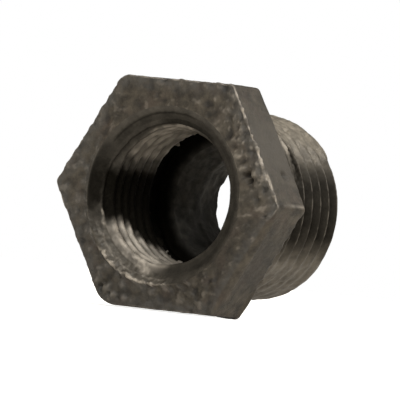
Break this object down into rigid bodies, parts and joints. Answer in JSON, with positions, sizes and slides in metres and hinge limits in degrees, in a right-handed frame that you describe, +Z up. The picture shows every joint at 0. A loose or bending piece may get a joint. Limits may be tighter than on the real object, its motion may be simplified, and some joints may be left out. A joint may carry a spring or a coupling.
{
  "type": "hexagon reducing bushing",
  "caption": "One-piece cast iron hexagon bushing: male taper pipe thread outside, smaller female pipe thread in the head, open right through.",
  "frame": {"origin": "on the bore axis, in the plane of the hexagon head's mouth", "axes": "bore axis along Y: the mouth faces -Y and the threaded shank points to +Y; +Z is up, square to two of the hexagon's flats; +X runs to a corner of the hexagon"},
  "size_m": [0.0288, 0.02, 0.025],
  "materials": {
    "cast_iron": "black oxide skin over a rough casting, worn to bare metal on the edges and threads"
  },
  "bodies": {
    "root": {"hex_bushing": "cast_iron"}
  },
  "joints": []
}
